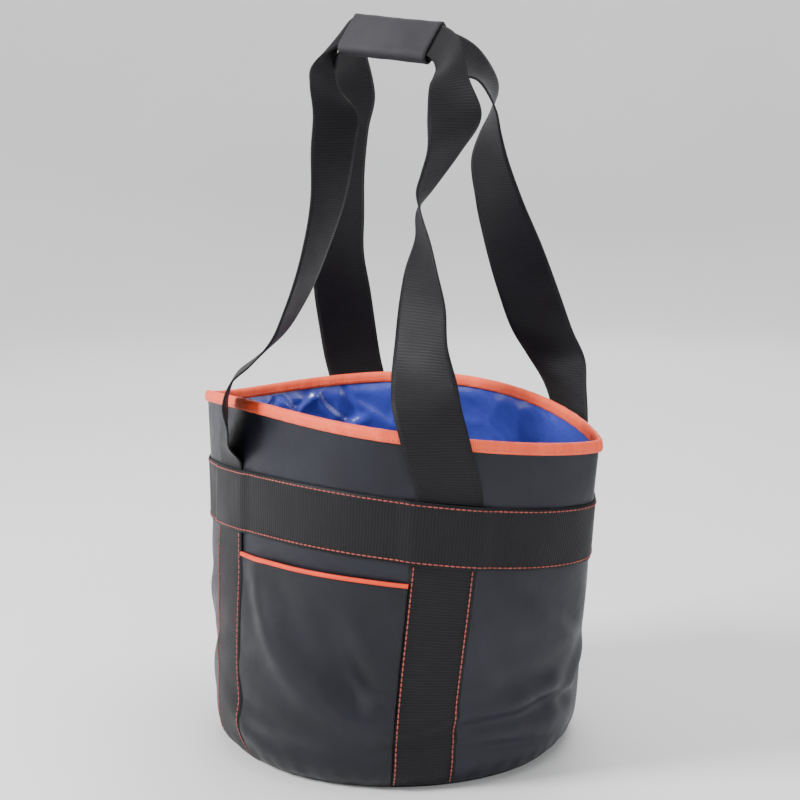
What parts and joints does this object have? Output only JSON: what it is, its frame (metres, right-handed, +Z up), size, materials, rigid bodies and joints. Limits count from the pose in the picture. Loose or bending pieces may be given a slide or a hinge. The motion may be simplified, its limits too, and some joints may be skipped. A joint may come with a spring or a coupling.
{
  "type": "tool bucket organizer",
  "caption": "Soft round-bottomed tool bucket with a pressed-in oval mouth, bound rim, waist band, flat front pocket and two webbing carry handles joined by a wrap.",
  "frame": {"origin": "centre of the round base, on the surface it stands on", "axes": "+Z up, +X along the long axis of the mouth towards its right corner, -Y towards the pocket side"},
  "size_m": [0.3672, 0.3046, 0.581],
  "materials": {
    "body_cloth": "coated polyester, fine weave, soft satin",
    "lining": "glossy coated sheet, wrinkled",
    "board": "stiffening board",
    "binding": "woven tape",
    "piping": "woven tape",
    "thread": "twisted thread",
    "rim_thread": "twisted thread",
    "webbing": "ribbed webbing",
    "grip_cloth": "woven cloth, matt"
  },
  "bodies": {
    "bucket": {"outer_wall": "body_cloth", "outer_base": "body_cloth", "front_pocket": "body_cloth", "lining_wall": "lining", "lining_base": "lining", "base_board": "board", "rim_binding": "binding", "pocket_piping": "piping", "waist_band_stitching": "thread", "strap_stitching": "thread", "rim_stitching": "rim_thread", "waist_band": "webbing", "strap_front_left": "webbing", "strap_front_right": "webbing", "strap_back_left": "webbing", "strap_back_right": "webbing"},
    "front_handle": {"front_handle_webbing": "webbing", "grip_upper_panel": "grip_cloth"},
    "back_handle": {"back_handle_webbing": "webbing", "grip_lower_panel": "grip_cloth"}
  },
  "joints": [
    {"name": "front_handle_swing", "type": "hinge", "parent": "bucket", "child": "front_handle", "pos_m": [0, -0.131, 0.233], "axis": [0.997, -0.0776, 0], "range_deg": [0, 130]},
    {"name": "back_handle_swing", "type": "hinge", "parent": "bucket", "child": "back_handle", "pos_m": [0, 0.0903, 0.233], "axis": [-0.9851, 0.1717, 0], "range_deg": [0, 130]}
  ]
}
